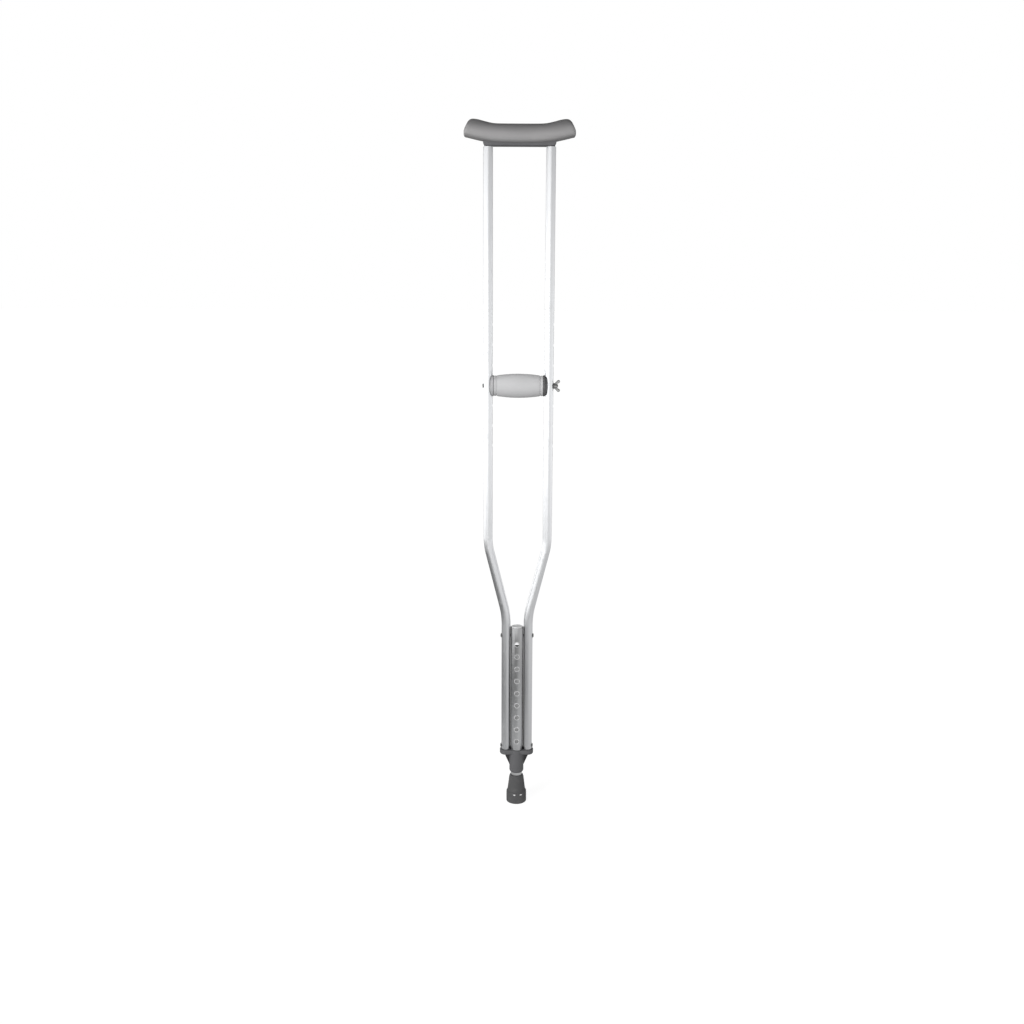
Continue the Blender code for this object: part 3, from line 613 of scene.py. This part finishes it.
def make_foot():
    """The foot bracket. Its plate runs from the leg's bore out to a stadium outline whose rim is rounded
    over; below it are a slightly tapered boss and two gusset webs, and above it two pegs."""
    bore, ear = LEG_RADIUS + 0.2 * MM, FOOT[1].x - FOOT_X
    top = TUBE_BOTTOM - GAP
    bottom = top - 10.2 * MM
    middle = (top + bottom) / 2
    corners = [(ear, middle), (ear, top), (0, top), (0, bottom), (ear, bottom), (ear, middle)]
    rim = filleted(corners, (0.7 * MM, 0, 0, 3.4 * MM), 7)[:-1]
    reach = stadium(ear, FOOT_X)
    inner = reach / np.linalg.norm(reach, axis=1)[:, None] * bore
    rows = []
    for radius, height in rim:
        edge = inner if radius == 0 else stadium(0.0, FOOT_X) + stadium(1.0, 0.0) * radius
        rows.append(np.column_stack([edge, np.full(len(edge), height)]))
    plate = np.stack(rows)
    boss_low, boss_high = FOOT[0].z, top - 0.4 * MM
    boss = [
        (bore, middle),
        (bore, boss_low),
        (12.3 * MM, boss_low),
        (14.2 * MM, boss_low + 3.4 * MM),
        (13.7 * MM, boss_high),
        (bore, boss_high),
    ]
    boss = filleted(boss + boss[:1], (0.3 * MM, 0.6 * MM, 3 * MM, 0.2 * MM, 0.2 * MM))[:-1]
    shells = [(plate, True), (turned(boss), True)]
    web_low, web_inside, web_half_thickness = 77.5 * MM, 12.4 * MM, 2.3 * MM
    height = np.linspace(bottom + 2 * MM, web_low, 24)
    flat = 0 * height
    web_outside = np.interp(height, (web_low, bottom), (13.6 * MM, 24.5 * MM))
    for side in (-1, 1):
        centre = np.stack([side * (web_outside + web_inside) / 2, flat, height], 1)
        half = np.stack([(web_outside - web_inside) / 2, flat, flat], 1)
        shells.append((capped(sections(centre, half, flat + web_half_thickness, 0.35, 48)), False))
        shells.append(peg(side * FOOT_X, bottom + 3 * MM, FOOT[1].z, (0, 1 * MM)))
    mesh = rings_mesh("foot", shells)
    piece("foot", mesh, BRACKET_LOOK, "frame", "foot_bracket")


def make_bracket():
    """The bar under the pad: sections whose lower and upper ends follow two curves, flat across the
    uprights and swept up into the pad, with a peg down each upright."""
    t = np.linspace(0, 1, 60)
    low_t, high_t = (0, 0.4, 0.5, 0.56, 0.62, 0.7, 0.8, 1), (0, 0.4, 0.5, 0.62, 0.7, 0.8, 1)
    low_x = np.interp(t, low_t, (0, 58, 61, 63.6, 66.0, 67.0, 72, 87))
    low_z = np.interp(t, low_t, (0, 0, 0.4, 1.4, 4.6, 9.6, 15.5, 22.4))
    high_x = np.interp(t, high_t, (0, 46, 55, 64, 69, 77, 87))
    high_z = np.interp(t, high_t, (15.0, 15.3, 16.1, 17.7, 18.9, 21.2, 25.2))
    peg_length = 25 * MM
    base = BRACKET[0].z + peg_length + GAP
    low = np.stack([low_x * MM, 0 * t, base + low_z * MM], 1)
    high = np.stack([high_x * MM, 0 * t, base + high_z * MM], 1)
    close = np.sqrt(np.clip(1 - t**24, 0, 1)) * 0.98 + 0.02
    centre = (low + high) / 2
    up = (high - low) / 2 * close[:, None]
    mirror = np.array((-1, 1, 1))
    centre = np.vstack([centre[:0:-1] * mirror, centre])
    up = np.vstack([up[:0:-1] * mirror, up])
    depth = 13 * MM * np.concatenate([close[:0:-1], close])
    shells = [(capped(sections(centre, up, depth, 0.3)), False)]
    for side in (-1, 1):
        shells.append(peg(side * UPRIGHT_X, BRACKET[0].z, base + 7 * MM, (1 * MM, 0)))
    mesh = rings_mesh("bracket", shells)
    piece("bracket", mesh, BRACKET_LOOK, "frame", "underarm_bracket")


def eased(points, passes=4):
    """A smooth run through a rough one: each pass puts two points on every edge, at a quarter and three
    quarters of its length, and keeps the first and last points."""
    for _ in range(passes):
        first, second = points[:-1], points[1:]
        cut = np.stack([0.75 * first + 0.25 * second, 0.25 * first + 0.75 * second], 1)
        points = np.vstack([points[:1], cut.reshape(-1, points.shape[1]), points[-1:]])
    return points


def make_pad():
    """The underarm pad: rounded sections that fan out at the ends, so that each end slants outwards from
    a tight upper corner. Each row below is a section's top and bottom, as x and z, and half depth. A
    parting line is pressed in along each side, a little under the middle: 1 less a bell of the rise."""
    half = np.array([
        (0, 1314.4, 0, 1280.6, 24),
        (28, 1314.4, 28, 1280.9, 24),
        (47, 1314.7, 47, 1282.0, 24),
        (62, 1318.0, 62, 1284.0, 24),
        (74, 1321.4, 75, 1286.6, 24),
        (85.5, 1323.0, 87, 1289.4, 23.8),
        (92, 1320.2, 96, 1291.6, 23.4),
        (97.4, 1311.0, 101.0, 1292.6, 21.5),
        (101.0, 1303.0, 101.2, 1297.5, 15),
        (101.3, 1300.5, 101.3, 1300.5, 0),
    ]) * MM
    whole = eased(np.vstack([half[:0:-1] * (-1, 1, -1, 1, 1), half]))
    columns = 200
    angle = (np.arange(columns) + 0.5) * 2 * math.pi / columns
    squareness = np.where(np.sin(angle) > 0, 0.6, 0.42)
    rise = squared(np.sin(angle), squareness)
    across = squared(np.cos(angle), squareness)
    parting = 1 - 0.014 * np.exp(-(((rise + 0.12) / 0.035) ** 2))
    narrowing = 1 - 0.05 * np.clip(rise, 0, 1)
    top, low, depth = whole[:, None, :2], whole[:, None, 2:4], whole[:, 4:]
    side = low + (top - low) * ((1 + rise) / 2)[:, None]
    grid = np.stack([side[..., 0], depth * across * parting * narrowing, side[..., 1]], -1)
    mesh = rings_mesh("pad", [(grid, False)], 60)
    obj = piece("pad", mesh, PAD_LOOK, "frame", "underarm_cushion")


def make_leg():
    """The telescoping tube, drilled in front for the snap button."""
    profile = ring_profile(LEG_RADIUS, LEG_BORE, LEG[0].z, LEG[1].z, 0.25 * MM)
    mesh = rings_mesh("leg", [(turned(profile), True)])
    rods = [((0, -14 * MM, BUTTON_Z), (0, -5 * MM, BUTTON_Z), BUTTON_HOLE_RADIUS)]
    piece("leg", drilled(mesh, rods), LEG_LOOK, "leg", "leg_tube")


def make_tip():
    """The rubber tip: a flared neck over a tread ring, hollow for the leg, with a groove in its sole.
    Two shallow ovals are pressed into the ring's front: radius less a bell of angle and height."""
    ring, top, floor = TIP[1].x, TIP[1].z, 5.5 * MM
    corners = [
        (0, floor),
        (LEG_RADIUS + GAP, floor),
        (LEG_RADIUS + GAP, top),
        (12.7 * MM, top),
        (14.4 * MM, top - 4.6 * MM),
        (17.9 * MM, 24.5 * MM),
        (ring - 0.2 * MM, 22.6 * MM),
        (ring, 18 * MM),
        (ring, 0),
        (14.0 * MM, 0),
        (13.0 * MM, 1.5 * MM),
        (9.0 * MM, 1.5 * MM),
        (8.0 * MM, 0),
        (0, 0),
    ]
    radii = [MM * r for r in (0.3, 0.3, 1.2, 6, 2.2, 1.2, 2.4, 1.8, 0.4, 0.4, 0.4, 0.4)]
    profile = filleted(corners, radii, 6)
    fine = [profile[:1]]
    for start, end in zip(profile, profile[1:]):
        count = max(2, int(np.linalg.norm(end - start) / (0.5 * MM)))
        fine.append(np.linspace(start, end, count)[1:])
    grid = turned(np.vstack(fine), 144)
    radius = np.hypot(grid[..., 0], grid[..., 1])
    angle = np.arctan2(grid[..., 0], -grid[..., 1])
    for at in TIP_OVALS:
        across = (angle - at) * ring / (2.6 * MM)
        rise = (grid[..., 2] - TIP_OVAL_Z) / (1.3 * MM)
        depth = 0.7 * MM * np.exp(-(across**4) - rise**4)
        press = np.where(radius > ring - 2 * MM, depth, 0) / np.maximum(radius, MM)
        grid[..., :2] *= (1 - press)[..., None]
    mesh = rings_mesh("tip_moulding", [(grid, False)], 45)
    piece("tip_moulding", mesh, TIP_LOOK, "leg", "tip")


def make_button():
    """The snap button: a domed stem with a flange behind it."""
    low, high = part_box("snap_button")
    radius, crown, lip = 4 * MM, 1.3 * MM, 5.2 * MM
    front, back, seat = -low.y, -high.y, -high.y + 1 * MM
    profile = np.vstack([
        dome(radius, crown, front - crown, 18),
        [(radius, seat), (lip, seat), (lip, back), (0, back)],
    ])
    grid = turned(profile * (1, -1), 56, "Y", (0, 0, BUTTON_Z))
    mesh = rings_mesh("button", [(grid, False)])
    piece("button", mesh, BUTTON_LOOK, "button", "snap_button")


def make_spring():
    """The folded leaf behind the button: a flat strip down the front, round a fold and up the back."""
    low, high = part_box("button_spring")
    half_sheet, bend = 0.25 * MM, BUTTON_Z - 6 * MM
    front, back, bottom = low.y + half_sheet, high.y - half_sheet, low.z + half_sheet
    corners = [
        (front, 0, high.z),
        (front, 0, bend),
        (-4 * MM, 0, bottom),
        (4 * MM, 0, bottom),
        (back, 0, bend),
        (back, 0, high.z),
    ]
    rough = filleted(corners, (6 * MM, 3.4 * MM, 3.4 * MM, 6 * MM), 8)
    path = np.vstack([np.linspace(a, b, 8)[:-1] for a, b in zip(rough, rough[1:])] + [rough[-1:]])
    up = np.cross(directions(path), (0, 1, 0)) * half_sheet
    in_xz = sections(path, up, np.full(len(path), 3 * MM), 0.3, 24)
    grid = in_xz[..., [1, 0, 2]]
    mesh = rings_mesh("spring", [(capped(grid), False)])
    obj = piece("spring", mesh, STEEL_LOOK, None, "button_spring")
    front + 0.5 * MM
    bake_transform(obj)


def make_grip_cover():
    """The handgrip's foam cover: a barrel whose radius falls with the square of the distance from the
    middle, a rounded groove, and a plain collar at each end, bored for the core."""
    groove, radius, end = 41.2 * MM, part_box("grip_cover")[1].y, 19.4 * MM
    collar, bore, edge = 19.1 * MM, 13.3 * MM, 0.8 * MM
    x = np.linspace(0, GRIP_HALF, 120)
    barrel = radius - (radius - end) * np.clip(x / groove, 0, 1) ** 2
    outer = np.where(x < groove, barrel, collar)
    outer = outer - 0.95 * MM * np.exp(-(((x - groove) / (0.75 * MM)) ** 2))
    outer = outer - edge * np.clip((x - GRIP_HALF + edge) / edge, 0, 1) ** 2
    half = np.stack([outer, x], 1)
    profile = np.vstack([half[:0:-1] * (1, -1), half, [(bore, GRIP_HALF), (bore, -GRIP_HALF)]])
    grid = turned(profile, 144, "X", (0, 0, GRIP_Z))
    mesh = rings_mesh("grip", [(grid, True)])
    piece("grip", mesh, GRIP_LOOK, "handgrip", "grip_cover")


def make_cup(name, side):
    """A domed cup. Its face is the lesser of the dome's height at radius r and the upright's near
    surface at y, eased where the two meet; its back is flat, with the bolt's hole through it."""
    start, shoulder, rim = GRIP_HALF + GAP, 48.6 * MM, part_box("grip_cup_right")[1].y
    reach, ease, bore, columns = 54.9 * MM, 0.35 * MM, 3.3 * MM, 160
    radius = rim * np.sin(np.linspace(math.asin(bore / rim), math.pi / 2, 60))[:, None]
    angle = np.arange(columns) * 2 * math.pi / columns
    y, z = radius * np.cos(angle), radius * np.sin(angle)
    over = shoulder + (reach - shoulder) * np.sqrt(np.clip(1 - (radius / rim) ** 2, 0, 1)) + 0 * angle
    clear = TUBE_RADIUS + GAP
    near = UPRIGHT_X - np.sqrt(np.clip(clear**2 - y**2, 0, None))
    near = np.where(np.abs(y) < clear, near, reach + (np.abs(y) - clear) * 4)
    both = np.clip(0.5 + (near - over) / (2 * ease), 0, 1)
    face = near * (1 - both) + over * both - ease * both * (1 - both)
    front = np.stack([face, y, z], -1)
    edge = turned([(rim, start + 0.5 * MM), (rim - 0.5 * MM, start), (bore, start)], columns, "X")
    grid = np.concatenate([front, edge]) * (side, 1, 1) + (0, 0, GRIP_Z)
    mesh = rings_mesh(name, [(grid, True)])
    piece(name, mesh, CUP_LOOK, "handgrip", "grip_" + name)


def make_bolt():
    """A domed head, a plain shank, and a thread: radius plus depth times the cosine of the angle less
    the turns along, over the last stretch."""
    crown, shank, columns, pitch = 2 * MM, 3 * MM, 40, 1 * MM
    low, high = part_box("grip_bolt")
    end, head, plain_end = high.x, low.x + crown, 61 * MM
    x = np.linspace(plain_end + 1 * MM, end - 0.6 * MM, 130)
    angle = np.arange(columns) * 2 * math.pi / columns
    radius = 2.86 * MM + 0.14 * MM * np.cos(angle - 2 * math.pi * x[:, None] / pitch)
    thread = np.stack([x[:, None] + 0 * angle, radius * np.cos(angle), radius * np.sin(angle)], -1)
    start = dome(4.2 * MM, crown, -head, 12) * (1, -1)
    start = turned(np.vstack([start, [(shank, head), (shank, plain_end)]]), columns, "X")
    stop = turned([(2.5 * MM, end), (0, end)], columns, "X")
    grid = np.concatenate([start, thread, stop]) + (0, 0, GRIP_Z)
    mesh = rings_mesh("bolt", [(grid, False)])
    piece("bolt", mesh, STEEL_LOOK, "handgrip", "grip_bolt")


def make_washer():
    """A flat ring with rounded edges."""
    low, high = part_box("bolt_washer")
    profile = ring_profile(high.y, 3.3 * MM, low.x, high.x, 0.25 * MM)
    mesh = rings_mesh("washer", [(turned(profile, 64, "X", (0, 0, GRIP_Z)), True)])
    piece("washer", mesh, STEEL_LOOK, "handgrip", "bolt_washer")


def make_wing_nut():
    """A turned hub with a bore, and two wings: flat oval sections along a curve that leans outwards and
    swells to a round end."""
    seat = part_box("wing_nut")[0].x
    corners = np.array([(3.3, 2), (3.3, 5.5), (4.1, 5.5), (4.9, 0), (3.3, 0), (3.3, 2)]) * MM
    radii = np.array([0.2, 0.5, 0.4, 0.2]) * MM
    profile = filleted(corners + (0, seat), radii, 4)[:-1]
    shells = [(turned(profile, 56, "X", (0, 0, GRIP_Z)), True)]
    t = np.linspace(0, 1, 40)
    x = seat + MM * (1.4 + 9.0 * t)
    z = MM * (2.6 + 7.4 * t**0.75)
    curve = np.stack([x, 0 * t, z], 1)
    along = directions(curve)
    across = np.stack([-along[:, 2], 0 * t, along[:, 0]], 1)
    width = MM * np.interp(t, (0, 0.3, 0.72, 1), (2.3, 2.1, 3.3, 3.0)) * np.sqrt(1 - t**6)
    thick = MM * np.interp(t, (0, 0.5, 1), (1.6, 1.25, 1.45)) * np.sqrt(1 - t**9)
    for side in (-1, 1):
        mirror = np.array((1, 1, side))
        centre = curve * mirror + (0, 0, GRIP_Z)
        up = across * width[:, None] * mirror
        shells.append((capped(sections(centre, up, thick, 0.8, 40)), False))
    piece("nut", rings_mesh("nut", shells), STEEL_LOOK, "nut", "wing_nut")


make_upright("upright_left_tube", -1)
make_upright("upright_right_tube", 1)
make_sleeve()
make_sleeve_cap()
make_rivets()
make_foot()
make_bracket()
make_pad()
make_leg()
make_tip()
make_button()
make_spring()
make_grip_cover()
make_cup("cup_left", -1)
make_cup("cup_right", 1)
make_bolt()
make_washer()
make_wing_nut()

for node, look in (("grip_core", CORE_LOOK), ("tip_washer", STEEL_LOOK)):
    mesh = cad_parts[node].data
    mesh.materials.clear()
    mesh.materials.append(look)


# Floor, light and camera ---------------------------------------------------------


def flat_square(name, half, height, look):
    """A square of the ground, which stays under the tip when the leg is drawn out."""
    mesh = bpy.data.meshes.new(name)
    corners = [(-half, -half), (half, -half), (half, half), (-half, half)]
    mesh.from_pydata([(*corner, height) for corner in corners], [], [(0, 1, 2, 3)])
    mesh.materials.append(look)
    obj = bpy.data.objects.new(name, mesh)
    bpy.context.scene.collection.objects.link(obj)
    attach(obj, "leg")
    return obj


def make_floor():
    """A wide white floor, slightly softer round the foot."""
    look = Look("floor_paper", Emission_Strength=1.0)
    glow = look.far().step(0.1, 1.6)
    look.feed(look.shader.inputs["Emission Color"], look.blend(glow, 0.88, 1.0))
    floor = flat_square("floor", 30, -0.5 * MM, look.finish(look.blend(glow, 0.22, 0.0), 0.9))
    floor.visible_diffuse = floor.visible_glossy = False


def make_card():
    """A grey card round the foot, seen only in the tubes' reflections: darker to the left."""
    look = Look("card_paper", Emission_Strength=1.0)
    far = look.far()
    level = look.blend(look.axes()[0].step(-0.15, 0.45), 0.13, 0.56)
    level = look.blend(far.step(0.7, 0.3) * 0.7, level, 0.5)
    look.feed(look.shader.inputs["Emission Color"], look.blend(far.step(1.5, 2.3), level, 0.8))
    card = flat_square("card", 2.4, 0.0, look.finish((0.0, 0.0, 0.0, 1.0), 1.0))
    card.visible_camera = card.visible_diffuse = card.visible_shadow = False


def make_world():
    """A white surround for the camera, and a soft studio for everything that it lights: brighter to the
    left, and dim above, below and behind."""
    world = bpy.data.worlds.new("studio")
    world.use_nodes = True
    bpy.context.scene.world = world
    tree = world.node_tree
    tree.nodes.clear()

    def add(kind, settings, inputs):
        node = tree.nodes.new(kind)
        for setting, value in settings.items():
            setattr(node, setting, value)
        for socket, value in inputs.items():
            if isinstance(value, bpy.types.NodeSocket):
                tree.links.new(value, node.inputs[socket])
            else:
                node.inputs[socket].default_value = value
        return node.outputs

    facing = add("ShaderNodeTexCoord", {}, {})["Generated"]
    axes = add("ShaderNodeSeparateXYZ", {}, {"Vector": facing})

    def ramp(axis, start, stop, low, high):
        """The level low before the start and high past the stop, with a smooth rise between."""
        inputs = {0: axes[axis], 1: start, 2: stop, 3: low, 4: high}
        return add("ShaderNodeMapRange", {"interpolation_type": "SMOOTHSTEP"}, inputs)[0]

    soft = ramp("X", 0.25, -0.15, 1.15, 2.0)
    upper = ramp("Z", -0.02, 0.175, 1.0, 0.2)
    lower = ramp("Z", -0.24, -0.6, 1.0, 0.22)
    behind = ramp("Y", 0.6, 0.92, 1.0, 0.15)
    for dimming in (upper, lower, behind):
        soft = add("ShaderNodeMath", {"operation": "MULTIPLY"}, {0: soft, 1: dimming})[0]
    seen = add("ShaderNodeLightPath", {}, {})["Is Camera Ray"]
    level = add("ShaderNodeMix", {}, {0: seen, 2: soft, 3: 1.0})[0]
    surface = add("ShaderNodeBackground", {}, {"Color": (1.0, 1.0, 1.0, 1.0), "Strength": level})[0]
    add("ShaderNodeOutputWorld", {}, {"Surface": surface})


def softbox(name, place, towards, size, power):
    """A rectangular light that shows neither itself nor its reflection."""
    light = bpy.data.lights.new(name, "AREA")
    light.shape = "RECTANGLE"
    light.size, light.size_y = size
    light.energy = power
    obj = bpy.data.objects.new(name, light)
    obj.location = place
    obj.rotation_euler = (Vector(towards) - Vector(place)).to_track_quat("-Z", "Y").to_euler()
    obj.visible_camera = obj.visible_glossy = False
    bpy.context.scene.collection.objects.link(obj)


def make_camera():
    """Level with the upper part of the crutch, looking 11.7 degrees down on it and rolled a little."""
    place, down, roll = (-0.0111, -2.2, 1.0533), math.radians(11.68), math.radians(0.245)
    camera = bpy.data.objects.new("camera", bpy.data.cameras.new("camera"))
    camera.data.lens = 40.89
    camera.data.sensor_width = 36
    camera.data.clip_start, camera.data.clip_end = 0.05, 200
    turn = Matrix.Rotation(math.pi / 2 - down, 4, "X") @ Matrix.Rotation(roll, 4, "Z")
    camera.matrix_world = Matrix.Translation(place) @ turn
    bpy.context.scene.collection.objects.link(camera)
    bpy.context.scene.camera = camera


make_floor()
make_card()
make_world()
softbox("key", (-1.5, -1.8, 1.25), (0, 0, 0.85), (0.8, 0.9), 25)
softbox("fill", (0.5, -2.4, 0.8), (0, 0, 0.6), (1.2, 1.2), 14)
softbox("top", (-0.5, -0.9, 2.3), (0, 0, 0.7), (0.8, 0.8), 12)
make_camera()
bpy.context.scene.view_settings.view_transform = "Standard"
